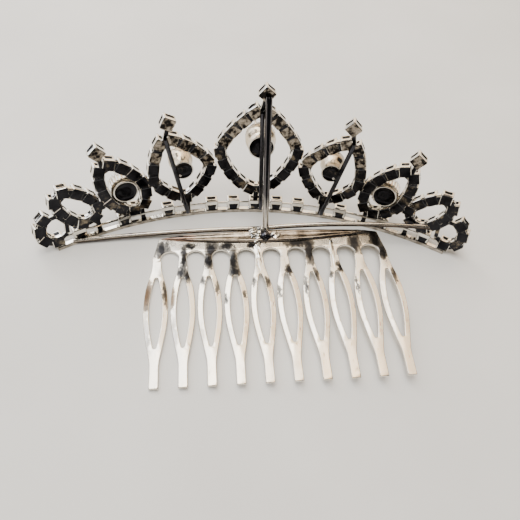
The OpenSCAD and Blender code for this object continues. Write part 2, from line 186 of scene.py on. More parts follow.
def makePiece(name, shape, materials, replaced, crease, bevel=0):
    mesh = bpy.data.meshes.new(name)
    mesh.from_pydata([p * mm for p in shape["points"]], [], shape["faces"])
    mesh.polygons.foreach_set("material_index", shape["finishes"])
    tidy = bmesh.new()
    tidy.from_mesh(mesh)
    bmesh.ops.recalc_face_normals(tidy, faces=tidy.faces)
    tidy.to_mesh(mesh)
    tidy.free()
    mesh.shade_smooth()
    mesh.set_sharp_from_angle(angle=math.radians(crease))
    for m in materials:
        mesh.materials.append(m)
    piece = newObject(name, mesh)
    if bevel:
        edge = piece.modifiers.new("edge", "BEVEL")
        edge.width = bevel * mm
        edge.segments = 2
        edge.limit_method = "ANGLE"
        edge.angle_limit = math.radians(40)
    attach(piece, "root")
    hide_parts(*replaced)


def metalPiece(name, shape, crease=35, bevel=0):
    makePiece(name, shape, metalFinishes, ["crown_metal"], crease, bevel)


def stonePiece(node, shape):
    makePiece(node + "_cut", shape, [crystal, foil], [node], crease=1)


def ringFaces(rows, count):
    # the faces between rings of points that follow one another
    return [[row + i, row + (i + 1) % count, row + count + (i + 1) % count, row + count + i]
            for row in range(0, (rows - 1) * count, count) for i in range(count)]


def insetOutline(outline, d):
    n = len(outline)
    moved = []
    for i in range(n):
        p, q, r = (Vector(outline[(i + k) % n]) for k in (-1, 0, 1))
        a, b = (q - p).normalized(), (r - q).normalized()
        across = Vector((-a.y - b.y, a.x + b.x)).normalized()
        moved.append(q + across * d / max(0.5, across.dot(Vector((-a.y, a.x)))))
    return moved


def prism(outline, low, high, edge=0.1, back=1, finish=0):
    # a plate whose outline runs anticlockwise, with its back face painted dark as shade by default and a
    # narrow bright edge round it
    n = len(outline)
    inner = insetOutline(outline, edge)
    points = [(x, y, low) for x, y in inner]
    points += [(x, y, z) for z in (low + edge * 0.7, high) for x, y in outline]
    faces = [list(range(n)), list(range(2 * n, 3 * n))] + ringFaces(3, n)
    return points, faces, [back] + [finish] * (len(faces) - 1)


def strip(a, b, width, low, high, extra=0, edge=0.1):
    run = (b - a).normalized()
    cross = Vector((-run.y, run.x)) * width / 2
    a, b = a - run * extra, b + run * extra
    return prism([a - cross, b - cross, b + cross, a + cross], low, high, edge)


def lathe(profile, count=48):
    # profile rows are radius, height and the finish of the band that follows
    rings = [p for p in profile if p[0] > 0]
    turns = [2 * math.pi * i / count for i in range(count)]
    points = [(r * math.cos(turn), r * math.sin(turn), z) for r, z, _ in rings for turn in turns]
    faces = ringFaces(len(rings), count)
    finishes = [ring[2] for ring in rings[:-1] for i in range(count)]
    for end, ring in ((profile[0], 0), (profile[-1], len(rings) - 1)):
        points.append((0, 0, end[1]))
        faces += [[ring * count + i, ring * count + (i + 1) % count, len(points) - 1] for i in range(count)]
        finishes += [end[2]] * count
    return points, faces, finishes


def tube(path, radii, sides=20, finish=0):
    points = []
    up = Vector((0.1, 0.2, 1)).normalized()
    for k, p in enumerate(path):
        run = (path[min(k + 1, len(path) - 1)] - path[max(k - 1, 0)]).normalized()
        a = run.cross(up).normalized()
        b = run.cross(a)
        for i in range(sides):
            w = 2 * math.pi * i / sides
            points.append(p + (a * math.cos(w) + b * math.sin(w)) * radii[k])
    faces = ringFaces(len(path), sides)
    faces += [list(range(sides)), list(range((len(path) - 1) * sides, len(path) * sides))]
    return points, faces, [finish] * len(faces)


def lump(centre, size, roughness, seed, finish, segments=24):
    centre = Vector(centre)
    rings = segments // 2
    points = []
    for i in range(1, rings):
        a = math.pi * i / rings
        for k in range(segments):
            b = 2 * math.pi * k / segments
            d = Vector((math.sin(a) * math.cos(b), math.sin(a) * math.sin(b), math.cos(a)))
            swell = 1 + roughness * noise.noise(d * 1.6 + Vector((seed, 0, 0)))
            points.append(centre + Vector((d.x * size[0], d.y * size[1], d.z * size[2])) * swell)
    top, low = len(points), len(points) + 1
    points += [centre + Vector((0, 0, size[2])), centre - Vector((0, 0, size[2]))]
    faces = ringFaces(rings - 1, segments)
    last = (rings - 2) * segments
    for k in range(segments):
        j = (k + 1) % segments
        faces += [[top, k, j], [low, last + j, last + k]]
    return points, faces, [finish] * len(faces)


# Materials
def colour(hexText):
    values = [int(hexText[i:i + 2], 16) / 255 for i in (1, 3, 5)]
    return tuple(v / 12.92 if v <= 0.04045 else ((v + 0.055) / 1.055) ** 2.4 for v in values) + (1,)


def grey(value):
    return (value, value, value, 1)


def addNode(tree, kind, sockets=None, stops=(), output=0, **nodeSettings):
    # sockets are {name or number: value or another node's output}, stops are a ramp's places and colours
    made = tree.nodes.new("ShaderNode" + kind)
    for key, value in nodeSettings.items():
        setattr(made, key, value)
    for socket, value in (sockets or {}).items():
        if isinstance(value, bpy.types.NodeSocket):
            tree.links.new(value, made.inputs[socket])
        else:
            made.inputs[socket].default_value = value
    if stops:
        elements = made.color_ramp.elements
        elements[0].position, elements[0].color = stops[0]
        elements[1].position, elements[1].color = stops[-1]
        for position, shade in stops[1:-1]:
            elements.new(position).color = shade
    return made.outputs[output] if made.outputs else made


def startMaterial(name):
    # gives the material, the adder of its nodes, and the object's own coordinates
    made = bpy.data.materials.new(name)
    made.use_nodes = True
    made.node_tree.nodes.clear()
    add = partial(addNode, made.node_tree)
    return made, add, add("TexCoord", output="Object")


def endMaterial(made, add, sockets):
    add("OutputMaterial", {"Surface": add("BsdfPrincipled", sockets)})
    return made


def patches(add, vector, rows):
    # one value that is 1 in the middle of each oval patch and falls to 0 at its edge
    total = None
    for x, y, width, height in rows:
        oval = add("Mapping", {"Vector": vector, "Location": (-x / width, -y / height, 0),
                               "Scale": (1 / (width * mm), 1 / (height * mm), 0)})
        one = add("TexGradient", {"Vector": oval}, output="Fac", gradient_type="SPHERICAL")
        total = add("Math", {0: total, 1: one}, operation="MAXIMUM") if total else one
    return total


def platedMetal(name, light, shade, polish, peel, clouds=(3.5, 0.3, 0.6), stain=None, highlightPatch=None):
    # bright electroplate over a pressed part: a mirror with thin cloudy patches and a slight orange peel.
    # polish is the roughness where it is smooth and where dull, peel the width and height of its waves in mm,
    # and clouds the patches' size in mm and where shade, light and stain lie in them
    made, add, place = startMaterial(name)
    cloud = add("TexNoise", {"Vector": place, "Scale": 1 / (clouds[0] * mm), "Detail": 4.0, "Roughness": 0.6})
    stops = [(at, colour(hexText)) for at, hexText in zip(clouds[1:], (shade, light, stain))]
    tone = add("ValToRGB", {"Fac": cloud}, stops)
    # a pinkish patch painted over the tone as a painted highlight
    if highlightPatch:
        share = add("Math", {0: patches(add, place, [highlightPatch[0]]), 1: cloud}, operation="MULTIPLY")
        share = add("ValToRGB", {"Fac": share}, [(0.12, grey(0)), (0.26, grey(1))])
        tone = add("Mix", {0: share, 6: tone, 7: colour(highlightPatch[1])}, output=2, data_type="RGBA")
    rough = add("ValToRGB", {"Fac": cloud}, [(0.35, grey(polish[0])), (0.75, grey(polish[1]))])
    waves = add("TexNoise", {"Vector": place, "Scale": 1 / (peel[0] * mm), "Detail": 2.0})
    bump = add("Bump", {"Height": waves, "Strength": 1.0, "Distance": peel[1] * mm})
    return endMaterial(made, add, {"Metallic": 1.0, "Base Color": tone, "Roughness": rough, "Normal": bump})


# patches on the comb, in its own mm, as middle and half size of each: dark smoke stains that are also painted
# dark reflections on the plate and the necks, fainter flecks of the same on the legs, and brown heat
smokeAndReflectionPatches = [
    (6.2, 1.3, 4.2, 2.2), (8.9, -1.2, 1.9, 5), (3.6, -6.3, 1, 2), (19.6, 0.4, 2, 3.8),
    (24.7, 0.6, 1.9, 3.6), (25.8, -2.4, 1.4, 3), (15.2, -6.3, 0.9, 2.2), (-25, 0.3, 2.2, 3),
    (-18.4, 1.2, 2, 1), (-19.9, -2.2, 0.9, 5), (-20.5, -6, 1.5, 2.2), (-19, -6.9, 1.1, 2.2),
    (-13.5, 0, 2, 3.4), (-14.3, -2.8, 1.5, 3.2), (-10.2, 0.9, 2.2, 1.6), (-8.8, -3.1, 1.3, 5),
    (-8.7, -6.2, 1.8, 2), (-4.4, 0.8, 1.4, 1.4),
]
fleckAndReflectionPatches = [
    (9.6, -7.8, 0.9, 2.6), (27.2, -8.8, 0.9, 3.4), (7, -10.9, 0.7, 4.2), (0.9, -12, 0.9, 2),
    (-1.4, -9.3, 0.9, 2.2), (18.3, -10.8, 0.5, 3.4), (12.9, -8, 0.7, 1.6), (-24, -10.2, 0.8, 4.6),
    (-15.7, -8.3, 0.8, 2), (-12.5, -10.1, 0.7, 3), (-10.9, -13.3, 0.7, 1.6), (-6.7, -12.5, 0.7, 1.7),
    (-4.6, -9, 0.8, 1.8),
]
heatPatches = [(-28, -11.4, 1.9, 5), (-22.9, -12, 1.2, 4.5)]
# their colours, how finely and how far their edges wander, the streaks that thin them, the flecks' strength
stainsAndReflections = {"smokeAndReflection": "#29292B", "heat": "#4B3824", "wander": 1.2, "across": 1.6, "along": 3.2, "streak": 0.45,
          "streakShare": 0.7, "fleckAndReflectionShare": 0.6}
# the doming of the teeth: its height, the middle of the stretch that has it, which is whole within 0.6 runs
# of the middle and gone after 1.6, and the long waves of the sheet
doming = {"height": 0.2, "middle": 16, "full": 1.6, "run": 8, "wave": 7, "waveHeight": 0.1}


def combMetal(name, pitch):
    # the comb's pressed sheet: each tooth slightly domed, with brown heat stains from the soldering and dark
    # patches that are smoke stains and painted dark reflections both
    made, add, place = startMaterial(name)
    parts = add("SeparateXYZ", {"Vector": place}).node.outputs
    turn = add("Math", {0: parts["X"], 1: 2 * math.pi / (pitch * mm)}, operation="MULTIPLY")
    dome = add("Math", {0: turn}, operation="COSINE")
    away = add("Math", {0: parts["Y"], 1: doming["middle"] * mm}, operation="ADD")
    away = add("Math", {0: away}, operation="ABSOLUTE")
    away = add("Math", {0: away, 1: doming["run"] * mm}, operation="DIVIDE")
    legs = add("Math", {0: doming["full"], 1: away}, operation="SUBTRACT", use_clamp=True)
    dome = add("Math", {0: dome, 1: -doming["height"] * mm}, operation="MULTIPLY")
    dome = add("Math", {0: dome, 1: legs}, operation="MULTIPLY")
    peel = add("TexNoise", {"Vector": place, "Scale": 1 / (doming["wave"] * mm), "Detail": 2.0})
    peel = add("Math", {0: peel, 1: doming["waveHeight"] * mm}, operation="MULTIPLY")
    height = add("Math", {0: dome, 1: peel}, operation="ADD")
    bump = add("Bump", {"Height": height, "Strength": 1.0, "Distance": 1.0})
    # the patches' edges wander
    wander = add("TexNoise", {"Vector": place, "Scale": 1 / (stainsAndReflections["wander"] * mm), "Detail": 5.0,
                              "Roughness": 0.65}, output="Color")
    across, along = stainsAndReflections["across"] * mm, stainsAndReflections["along"] * mm
    moved = add("Mapping", {"Vector": wander, "Location": (-across / 2, -along / 2, 0),
                            "Scale": (across, along, 0)})
    frayed = add("VectorMath", {0: place, 1: moved}, operation="ADD")
    # and thin out in streaks along the teeth
    drawnOut = add("Mapping", {"Vector": place, "Scale": (1, 0.25, 1)})
    streaks = add("TexNoise", {"Vector": drawnOut, "Scale": 1 / (stainsAndReflections["streak"] * mm), "Detail": 3.0})
    streaks = add("Math", {0: streaks, 1: stainsAndReflections["streakShare"]}, operation="MULTIPLY")
    flecksAndReflection = patches(add, frayed, fleckAndReflectionPatches)
    flecksAndReflection = add("Math", {0: flecksAndReflection, 1: stainsAndReflections["fleckAndReflectionShare"]}, operation="MULTIPLY")
    smokeAndReflection = add("Math", {0: patches(add, frayed, smokeAndReflectionPatches), 1: flecksAndReflection}, operation="MAXIMUM")
    smokeAndReflection = add("Math", {0: smokeAndReflection, 1: streaks}, operation="ADD")
    # both ramps climb fast and then slowly, because the plating reflects far brighter than white
    smokeAndReflection = add("ValToRGB", {"Fac": smokeAndReflection},
                [(0.42, grey(0)), (0.6, grey(0.8)), (0.85, grey(0.95)), (1, grey(1))])
    heat = add("ValToRGB", {"Fac": patches(add, frayed, heatPatches)},
               [(0, grey(0)), (0.22, grey(0.8)), (0.5, grey(0.93)), (0.85, grey(0.98))])
    soft = add("TexNoise", {"Vector": place, "Scale": 1 / (9 * mm), "Detail": 3.0})
    base = add("ValToRGB", {"Fac": soft}, [(0.3, colour("#E9DFCC")), (0.6, colour("#F6F1E8"))])
    tone = base
    for share, shade in ((heat, stainsAndReflections["heat"]), (smokeAndReflection, stainsAndReflections["smokeAndReflection"])):
        tone = add("Mix", {0: share, 6: tone, 7: colour(shade)}, output=2, data_type="RGBA")
    # the rounded edges are kept free of the dark patches and stay bright
    facing = add("SeparateXYZ", {"Vector": add("TexCoord", output="Normal")}, output="Z")
    flat = add("ValToRGB", {"Fac": facing}, [(0.8, grey(0)), (0.97, grey(1))])
    rimsKeptBright = add("Mix", {0: flat, 6: base, 7: tone}, output=2, data_type="RGBA")
    polish = add("ValToRGB", {"Fac": soft}, [(0.35, grey(0.17)), (0.75, grey(0.26))])
    return endMaterial(made, add, {"Metallic": 1.0, "Base Color": rimsKeptBright, "Roughness": polish, "Normal": bump})


def shadedBraceMetal(name, litBelow, shadedAbove):
    # drawn wire whose tone is painted light: bright near the comb and painted dark further up, as shade
    made, add, place = startMaterial(name)
    grain = add("TexNoise", {"Vector": place, "Scale": 1 / (2 * mm), "Detail": 2.0})
    spread = add("Math", {0: grain, 1: 2 * mm}, operation="MULTIPLY")
    height = add("Math", {0: add("SeparateXYZ", {"Vector": place}, output="Z"), 1: spread}, operation="ADD")
    rise = add("Math", {0: height, 1: litBelow * mm}, operation="SUBTRACT")
    share = add("Math", {0: rise, 1: (shadedAbove - litBelow) * mm}, operation="DIVIDE", use_clamp=True)
    tone = add("Mix", {0: share, 6: colour("#EAE4DA"), 7: colour("#5A585A")}, output=2, data_type="RGBA")
    bump = add("Bump", {"Height": grain, "Distance": 0.015 * mm})
    return endMaterial(made, add, {"Metallic": 1.0, "Roughness": 0.1, "Base Color": tone, "Normal": bump})


def underShadedWireMetal(name):
    # drawn wire under creamy plating, with painted shade on its underside: dark brown where it faces down
    made, add, place = startMaterial(name)
    grain = add("TexNoise", {"Vector": place, "Scale": 1 / (3 * mm), "Detail": 3.0})
    facing = add("SeparateXYZ", {"Vector": add("TexCoord", output="Normal")}, output="Z")
    spread = add("Math", {0: grain, 1: 0.4}, operation="MULTIPLY")
    turned = add("Math", {0: facing, 1: spread}, operation="ADD")
    tone = add("ValToRGB", {"Fac": turned},
               [(0.52, colour("#3A322B")), (0.66, colour("#A8998A")), (0.8, colour("#EFE6D8"))])
    bump = add("Bump", {"Height": grain, "Distance": 0.01 * mm})
    return endMaterial(made, add, {"Metallic": 1.0, "Roughness": 0.2, "Base Color": tone, "Normal": bump})


# silver-bright plating on the stamped cups and the settings' rims
brightPlating = platedMetal("bright silver plating", "#F4F1EA", "#D3CCBE", (0.07, 0.2), (1.2, 0.015))
# the backs are painted near black as shade between bright edges, with warm patches where the plating is worn
paintedShadeBacks = platedMetal("backs painted dark as shade", "#2A2A2D", "#17171A", (0.1, 0.25), (1.5, 0.01),
                          clouds=(3.5, 0.3, 0.59, 0.69), stain="#7E7464")
# drawn steel wire under the same plating, darker and slightly drawn out
wirePlating = platedMetal("plated drawn wire", "#4C4C51", "#242428", (0.08, 0.22), (2.0, 0.012))
# the turned settings are matt enough to show soft cream shades
satinPlating = platedMetal("satin plating on turned settings", "#D9CBB4", "#867A67", (0.17, 0.3), (3.0, 0.02))
# the backs of the upper cups and the tips are painted a paler, mottled grey than the painted shade of the
# other backs
paleBackPlating = platedMetal("paler mottled grey on the upper backs", "#A2988A", "#1B1918", (0.1, 0.28), (0.8, 0.04),
                          clouds=(1.2, 0.44, 0.6))
# the brace is painted bright near the comb and dark higher up, as shade
shadedBracePlating = shadedBraceMetal("brace wire painted dark higher up as shade", litBelow=7, shadedAbove=12)
# the long wire has painted shade on its underside
underShadedLongWire = underShadedWireMetal("cream long wire painted with shade underneath")
# the rail's back face is painted darker as shade, and dull from lying in the hair
railBackShadePlating = platedMetal("dull rail back painted darker as shade", "#C6BDB0", "#756E64", (0.16, 0.32), (1.4, 0.03),
                          clouds=(1.6, 0.34, 0.62))
combPlating = combMetal("bright plating on pressed sheet", pitch=5.75)
# the rolled bead is duller and browner than the sheet, with a pinkish painted highlight at its left end
ridgePlating = platedMetal("dull plating on the rolled bead", "#B9AEA1", "#5E554C", (0.14, 0.3), (2.2, 0.09),
                           highlightPatch=((-20, 8.5, 8, 7), "#CDB09E"))
# tin solder, set in a lump with a frosted skin
solderMetal = platedMetal("tin solder", "#6A6A70", "#17171B", (0.1, 0.3), (0.9, 0.05))


def crystalGlass():
    # lead glass with a hard polish
    made, add, place = startMaterial("lead crystal")
    film = add("TexNoise", {"Vector": place, "Scale": 1 / (1.5 * mm), "Detail": 3.0})
    polish = add("ValToRGB", {"Fac": film}, [(0.4, grey(0.0)), (0.8, grey(0.06))])
    return endMaterial(made, add, {"IOR": 1.56, "Transmission Weight": 1.0, "Base Color": colour("#FAFCFF"),
                                   "Roughness": polish})


def mirrorFoil():
    # silver foil painted on the stone's pointed back, which throws the light forward again
    made, add, place = startMaterial("silver foil")
    spots = add("TexNoise", {"Vector": place, "Scale": 1 / (0.8 * mm)})
    tone = add("ValToRGB", {"Fac": spots}, [(0.3, colour("#C9CCD2")), (0.6, colour("#F2F4F8"))])
    return endMaterial(made, add, {"Metallic": 1.0, "Roughness": 0.06, "Base Color": tone})


crystal = crystalGlass()
foil = mirrorFoil()
# dark is the painted shade of the backs, the cups' windows and the barrels' back ends
bright, dark, drawn, satin, paleBack, braceShade, railBackShade, creamUnderShaded = range(8)
metalFinishes = [brightPlating, paintedShadeBacks, wirePlating, satinPlating, paleBackPlating, shadedBracePlating,
                 railBackShadePlating, underShadedLongWire]
print("materials made")


# Cups
def cupColumns(width, height):
    # points round the cup's outline: place, outward normal, diagonal, run to the corner, and share of prong
    corner = cup["corner"]
    columns = []
    for k, (sx, sy) in enumerate(((1, -1), (1, 1), (-1, 1), (-1, -1))):
        middle = Vector((sx * (width / 2 - corner), sy * (height / 2 - corner)))
        diagonal = Vector((sx, sy)) / math.sqrt(2)
        start = math.radians(-90 + 90 * k)
        for i in range(4):
            a = start + math.radians(30 * i)
            normal = Vector((math.cos(a), math.sin(a)))
            columns.append((middle + normal * corner, normal, diagonal, Vector((0, 0)), 1))
        side = Vector((math.cos(start + math.pi / 2), math.sin(start + math.pi / 2)))
        run = Vector((-side.y, side.x))
        length = (height if k % 2 == 0 else width) - 2 * corner
        first = middle + side * corner
        nextDiagonal = Vector((diagonal.x * (1 - 2 * abs(run.x)), diagonal.y * (1 - 2 * abs(run.y))))
        edge, notch = cup["prong"], cup["notch"]
        for along, share in ((edge - notch, 1), (edge + notch, 0), (length / 2, 0)):
            columns.append((first + run * along, side, diagonal, -run, share))
        for along, share in ((length - edge - notch, 0), (length - edge + notch, 1)):
            columns.append((first + run * along, side, nextDiagonal, run, share))
    return columns


# height, inset and inward bend of a cup's wall, first between prongs and then at a prong, and the finish of
# the band that follows: each wall has a sunken window under its lip, painted dark as the shade of the gap by
# the stone
wallLevels = [
    ((0, 0.15, 0), (0, 0.15, 0), bright), ((0.1, 0.03, 0), (0.1, 0.03, 0), bright),
    ((0.25, 0, 0), (0.25, 0, 0), bright), ((0.86, 0, 0), (0.86, 0, 0), bright),
    ((0.9, 0.04, 0), (1.2, 0, 0), dark), ((0.94, 0.15, 0), (1.5, 0, 0), dark),
    ((1.86, 0.15, 0), (1.84, 0, 0), dark), ((1.9, 0.05, 0), (1.92, 0, 0), bright),
    ((1.94, 0.01, 0), (2.1, 0, 0), bright), ((2.08, 0.01, 0), (2.4, 0.01, 0.05), bright),
    ((2.14, 0.06, 0), (2.58, 0.02, 0.2), bright), ((2.14, 0.16, 0), (2.6, 0.04, 0.42), bright),
    ((2.1, 0.2, 0), (2.5, 0.1, 0.56), bright), ((1.9, 0.22, 0), (2.3, 0.18, 0.3), bright),
    ((0.65, 0.22, 0), (0.65, 0.22, 0), bright),
]


def cupMesh(width, height, back=dark):
    columns = cupColumns(width, height)
    n = len(columns)
    points = []
    for low, high, finish in wallLevels:
        for place, normal, diagonal, run, share in columns:
            z, inset, bend = high if share else low
            slide = share * cup["prongTaper"] * min(1, max(0, (z - cup["taperFrom"]) / cup["taperRun"]))
            p = place - normal * inset - diagonal * bend + run * slide
            points.append((p.x, p.y, z))
    faces, finishes = ringFaces(len(wallLevels), n), []
    for low, high, finish in wallLevels[:-1]:
        finishes += [bright if columns[i][4] and columns[(i + 1) % n][4] else finish for i in range(n)]
    faces += [list(range(n)), list(range((len(wallLevels) - 1) * n, len(wallLevels) * n))]
    # a cup's back takes the given finish, dark painted shade by default, and its inner floor the dark painted
    # shade
    return points, faces, finishes + [back, dark]


def brilliant(diameter, count=8):
    # table, star, kite and girdle facets in front, mains and halves on the foiled back
    r = diameter / 2

    def ring(number, radius, z, offset):
        return [(radius * r * math.cos(2 * math.pi * (i + offset) / number),
                 radius * r * math.sin(2 * math.pi * (i + offset) / number), z * r) for i in range(number)]

    table, star = ring(count, cut["table"], cut["rise"], 0), ring(count, *cut["star"], 0.5)
    half = ring(count, *cut["half"], 0)
    girdleTop, girdleLow = (ring(2 * count, 1, z, 0) for z in cut["girdle"])
    points = table + star + girdleTop + girdleLow + half + [(0, 0, -cut["drop"] * r)]
    s, g, w, h, tip = count, 2 * count, 4 * count, 6 * count, 7 * count
    faces, finishes = [list(range(count))], [0]
    for i in range(count):
        j = (i + 1) % count
        a, b, c = 2 * i, 2 * i + 1, (2 * i + 2) % (2 * count)
        front = [[i, s + i, j], [i, s + (i - 1) % count, g + a], [i, g + a, s + i], [s + i, g + a, g + b],
                 [s + i, g + b, g + c], [g + a, g + b, w + b, w + a], [g + b, g + c, w + c, w + b]]
        back = [[w + a, w + b, h + i], [w + b, h + j, h + i], [w + b, w + c, h + j], [h + i, h + j, tip]]
        faces += front + back
        finishes += [0] * len(front) + [1] * len(back)
    return points, faces, finishes


def stonePlace(diameter, floor=crown["plateDepth"]):
    return Matrix.Translation((0, 0, floor + cup["stoneGap"] + cut["drop"] * diameter / 2))


smallStone, tipStone = (cup[key] - 2 * cup["stoneWall"] - 2 * cup["stoneGap"] for key in ("size", "tipSize"))
baseStone = cup["baseTop"] - crown["railHeight"] - cup["stoneWall"] - 2 * cup["stoneGap"]
loopStones, baseStones = newShape(), newShape()
# the chain cups' backs are painted dark as shade; the other cups' and the tips' backs are painted a paler
# mottled grey
chainCup, paleBackCup = cupMesh(cup["size"], cup["size"]), cupMesh(cup["size"], cup["size"], paleBack)
tipCup = cupMesh(cup["tipSize"], cup["tipSize"], paleBack)
baseCup = cupMesh(cup["baseWidth"], cup["baseTop"] - cup["baseLow"], bright)
smallGem, tipGem, baseGem = brilliant(smallStone), brilliant(tipStone), brilliant(baseStone)
# the cups next to the top of the inner loops have backs painted a paler mottled grey: how many on the outer
# and on the inner side
paleBackCups = {"centre": (4, 4), "second": (2, 4)}
# plates between the parts of a loop: width, low and high side over the crown's back, run past the ends, edge
plates = {
    "chain": (cup["size"] - 0.5, 0.1, 0.55, 0, 0.06),
    "shoulder": (cup["size"] - 0.16, 0.5, 1.3, -cup["size"] * 0.4, 0.02),
    "bridge": (crown["linkWidth"], 0.05, 0.55),
    "post": (crown["postWidth"], 0.04, 0.56),
    "tip": (crown["linkWidth"], 0.1, 0.5),
}


def loopPiece(name, side):
    shape = newShape()
    matrix = onCrown(placeOf(name), side)
    places = cupPlaces(name)
    keep = round(loopShapes[name][10] * len(places))
    outer, inner = paleBackCups.get(name, (0, 0))
    for k, (place, turn) in enumerate(places):
        if k < keep:
            paleBacked = k < outer or k >= len(places) - inner
            put(shape, paleBackCup if paleBacked else chainCup, matrix @ inPlane(place, turn))
            put(loopStones, smallGem, matrix @ inPlane(place, turn) @ stonePlace(smallStone))
        # cups of a chain hang on a plate that nearly closes the gap, bare places on a thin bridge
        following = places[(k + 1) % len(places)][0]
        if k < keep and (k + 1) % len(places) < keep:
            put(shape, strip(place, following, *plates["chain"]), matrix)
            put(shape, strip(place, following, *plates["shoulder"]), matrix)
        else:
            put(shape, strip(place, following, *plates["bridge"]), matrix)
    foot = loopPoint(name, 180)
    put(shape, strip(Vector((foot.x, crown["railHeight"] / 2)), foot, *plates["post"]), matrix)
    if name in tipPlaces:
        out, up = tipPlaces[name][:2]
        turn = tipPlaces[name][2 if side > 0 else 3]
        place = Vector((out * crown["reach"], up * crown["loopHeight"]))
        seat = matrix @ inPlane(place, math.radians(45 + turn))
        put(shape, tipCup, seat)
        put(loopStones, tipGem, seat @ stonePlace(tipStone))
        put(shape, strip(loopPoint(name, 0), place, *plates["tip"]), matrix)
    metalPiece(sided(name, "loop", side), shape)


for loopName, side in withPairs("second", "third", "fourth", "end"):
    loopPiece(loopName, side)
print("loops made")

# Rail and the bottom row of cups on it. The cups stand at these multiples of the pitch, a share of the reach,
# and their back plates start at a share of the rail's height
base = {"stations": (0, 1, 2, 4, 6, 8), "pitch": 0.1098, "footWidth": 1.3, "fillet": 0.45, "darkTop": 2.45,
        "start": 0.6, "inset": 0.2, "back": -0.02, "front": 0.45, "edge": 0.13}


def railPiece():
    shape = newShape()
    steps = 120
    reach = crown["reach"] / crown["radius"]
    slope = math.tan(lean)

    def band(low, high, back, front, rear):
        section = [(low * slope + back, low), (low * slope + front, low),
                   (high * slope + front, high), (high * slope + back, high)]
        points = []
        for i in range(steps + 1):
            t = reach * (2 * i / steps - 1)
            for off, z in section:
                r = crown["radius"] + off
                points.append((r * math.sin(t), r * math.cos(t) - crown["radius"] + railMiddle, z))
        faces = ringFaces(steps + 1, 4) + [[0, 1, 2, 3], [4 * steps + k for k in range(4)]]
        return points, faces, [bright, bright, bright, rear] * steps + [bright] * 2

    step, linkLow = crown["backStep"], crown["linkUp"] - crown["linkHeight"] / 2
    # the rail's back face takes the darker painted shade
    put(shape, band(0, crown["railHeight"], -step, crown["railDepth"] - step, railBackShade))
    put(shape, band(linkLow, linkLow + crown["linkHeight"], crown["linkStep"] / 2, crown["linkFront"],
                    bright))
    metalPiece("rail", shape, bevel=0.1)


def basePlate():
    # the stamped back under a bottom cup: narrow at the rail, hollowed at its sides, under the cup's shoulder
    low, high = crown["railHeight"] * base["start"], base["darkTop"]
    foot, top = base["footWidth"] / 2, cup["baseWidth"] / 2 - base["inset"]
    steps = 8
    right = []
    for i in range(steps + 1):
        u = i / steps
        right.append((foot + (top - foot) * u ** 0.8 + base["fillet"] * (1 - u) ** 4, low + (high - low) * u))
    outline = right + [(-x, y) for x, y in reversed(right)]
    return prism(outline, base["back"], base["front"], base["edge"])


def baseRow():
    shape = newShape()
    plate = basePlate()
    middle = (cup["baseLow"] + cup["baseTop"]) / 2
    for k, station in enumerate(base["stations"]):
        for side in (1, -1) if k else (1,):
            matrix = onCrown(station * base["pitch"] * crown["reach"], side)
            put(shape, plate, matrix)
            put(shape, baseCup, matrix @ inPlane((0, middle)))
            put(baseStones, baseGem, matrix @ inPlane((0, middle)) @ stonePlace(baseStone))
    metalPiece("bottom_row", shape)


railPiece()
baseRow()
print("rail and bottom row made")

# Large round settings
def settingCentre(name):
    row = settings[name]
    if row["place"]:
        return Vector((row["place"][0] * crown["reach"], row["place"][1] * crown["loopHeight"]))
    tilt = math.radians(loopShapes[name][3])
    reach = cup["size"] / 2 - rim["overlap"] + row["stone"] / 2 + cup["stoneGap"] + rim["wall"]
    return loopPoint(name, 270) + reach * Vector((math.cos(tilt), -math.sin(tilt)))


def settingPiece(name, side):
    row = settings[name]
    shape = newShape()
    seat = row["stone"] / 2 + cup["stoneGap"]
    r = seat + rim["wall"]
    barrel = r * row["barrel"]
    z, start = row["back"], row["start"]
    top, floor = start + rim["height"], start + crown["plateDepth"]
    flare = min(0.9, (start - z) * 0.35)
    # out and up the barrel from its back, over the rim's edge, and down to the floor under the stone. The
    # barrel's back end is painted dark as shade, inside a narrow ring of bright plating
    profile = [(0, z + 0.16, dark), (barrel * 0.3, z + 0.15, dark), (barrel * 0.86, z + 0.12, dark),
               (barrel * 0.91, z + 0.03, bright), (barrel * 0.95, z, bright), (barrel, z + 0.06, satin),
               (barrel, start - flare, satin), (barrel * 1.03, start - flare * 0.85, satin),
               (r * 0.97, start + 0.1, satin), (r, start + 0.3, satin), (r, top - 0.1, bright),
               (r - 0.08, top, bright), (seat + 0.06, top, bright), (seat, top - 0.08, bright),
               (seat, floor + 0.1, bright), (0, floor, bright)]
    matrix = onCrown(placeOf(name), side) @ inPlane(settingCentre(name))
    put(shape, lathe(profile), matrix)
    # claws bent over the stone's edge; the third setting's run down its whole side as ribs
    girdle = floor + cup["stoneGap"] + (cut["drop"] + cut["girdle"][0]) * row["stone"] / 2
    foot = top - claw["below"] if row["place"] else start + claw["ribAbove"]
    sunk = claw["sunk"] if row["place"] else claw["ribSunk"]
    bends = [(sunk, foot), (sunk, girdle - 0.1)] + [(inset, girdle + up) for inset, up in claw["bends"]]
    for i in range(row["claws"]):
        a = 2 * math.pi * (i + 0.5) / row["claws"]
        out = Vector((math.cos(a), math.sin(a), 0))
        path = [out * (r - inset) + Vector((0, 0, up)) for inset, up in bends]
        put(shape, tube(path, claw["radii"], 10), matrix)
    if row["place"]:
        # a small spill of solder where the bar crosses the barrel's end
        spill = (barrel * 0.35, -barrel * 0.55, row["back"] + 0.12)
        put(shape, lump(spill, (0.42, 0.3, 0.2), 0.4, 7.0, bright, 12), matrix)
    metalPiece(sided(name, "setting", side), shape, crease=50)
    stone = newShape()
    put(stone, brilliant(row["stone"]), matrix @ stonePlace(row["stone"], floor))
    stonePiece(sided(name, "stone", side), stone)


